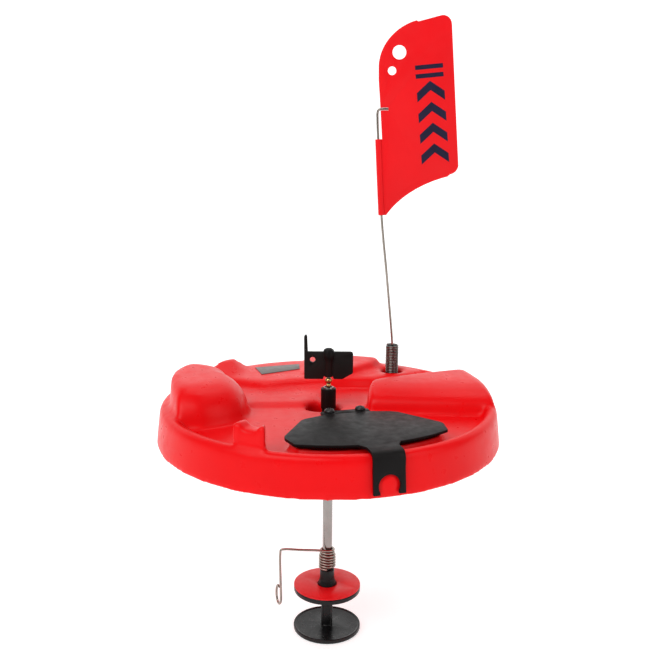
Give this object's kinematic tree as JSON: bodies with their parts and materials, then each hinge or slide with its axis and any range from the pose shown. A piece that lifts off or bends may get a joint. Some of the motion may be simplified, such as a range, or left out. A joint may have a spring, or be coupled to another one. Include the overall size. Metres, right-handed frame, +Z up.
{
  "type": "ice fishing tip up",
  "caption": "Round red hole cover with a steel shaft, line spool and wire guide below, and a trip plate, lidded tackle tub and sprung flag above.",
  "frame": {"origin": "on the shaft axis, in the plane of the cover's underside, which rests on the ice round the hole", "axes": "+Z up out of the hole, -Z down into the water; -Y is the front, where the lid's tab hangs over the rim near azimuth -73 degrees; +X is to the right seen from the front"},
  "size_m": [0.2666, 0.2666, 0.4956],
  "materials": {
    "red_gloss_plastic": "glossy moulded red plastic",
    "red_disc_plastic": "satin red plastic disc",
    "flag_plastic": "bright red satin plastic sheet with dark printed chevrons",
    "black_satin_plastic": "satin black plastic",
    "spool_black": "black moulded plastic",
    "black_screw": "black oxide screw",
    "steel": "drawn stainless steel",
    "spring_steel": "plated spring wire",
    "wire_steel": "bright drawn wire",
    "brass": "polished brass",
    "nylon": "black nylon",
    "foam": "expanded foam",
    "label": "plain printed label"
  },
  "bodies": {
    "base": {"deck_shell": "red_gloss_plastic", "bottom_cover": "red_gloss_plastic", "foam_insert": "foam", "label_plate": "label", "lid_hinge_strip": "black_satin_plastic", "lid_screw_left": "black_screw", "lid_screw_right": "black_screw", "shaft_bushing": "black_satin_plastic", "spring_socket": "black_satin_plastic", "flag_spring": "spring_steel", "cover_screw_1": "steel", "cover_screw_2": "steel", "cover_screw_3": "steel", "cover_screw_4": "steel", "cover_screw_5": "steel", "cover_screw_6": "steel"},
    "shaft": {"outer_tube": "steel", "tube_collar": "black_satin_plastic", "tube_bushing_upper": "nylon", "tube_bushing_lower": "nylon"},
    "rotor": {"inner_rod": "steel", "bead_lower": "brass", "bead_upper": "brass", "trip_plate": "black_satin_plastic", "spool_upper_flange": "spool_black", "spool_disc": "red_disc_plastic", "spool_body": "spool_black", "spool_nut": "steel"},
    "guide": {"line_guide": "wire_steel"},
    "lid": {"lid_flap": "black_satin_plastic"},
    "flag": {"flag_wire": "wire_steel", "wire_ferrule": "black_satin_plastic", "flag_sheet": "flag_plastic"}
  },
  "joints": [
    {"name": "flag_fold", "type": "hinge", "parent": "base", "child": "flag", "pos_m": [0.0556, 0.09, 0.045], "axis": [0.9185, -0.3955, 0], "range_deg": [0, 88.5], "stiffness_Nm_per_rad": 0.2, "springref_deg": -2.86, "deforming": ["flag_spring"]},
    {"name": "shaft_lift", "type": "slide", "parent": "base", "child": "shaft", "axis": [0, 0, 1], "range_m": [0, 0.09]},
    {"name": "rotor_spin", "type": "hinge", "parent": "shaft", "child": "rotor", "pos_m": [0, 0, 0], "axis": [0, 0, 1], "continuous": true},
    {"name": "guide_turn", "type": "hinge", "parent": "shaft", "child": "guide", "pos_m": [0, 0, -0.105], "axis": [0, 0, 1], "continuous": true},
    {"name": "lid_open", "type": "hinge", "parent": "base", "child": "lid", "pos_m": [0.0138, -0.04404, 0.0319], "axis": [0.9542, 0.299, 0], "range_deg": [-100, 0]}
  ]
}
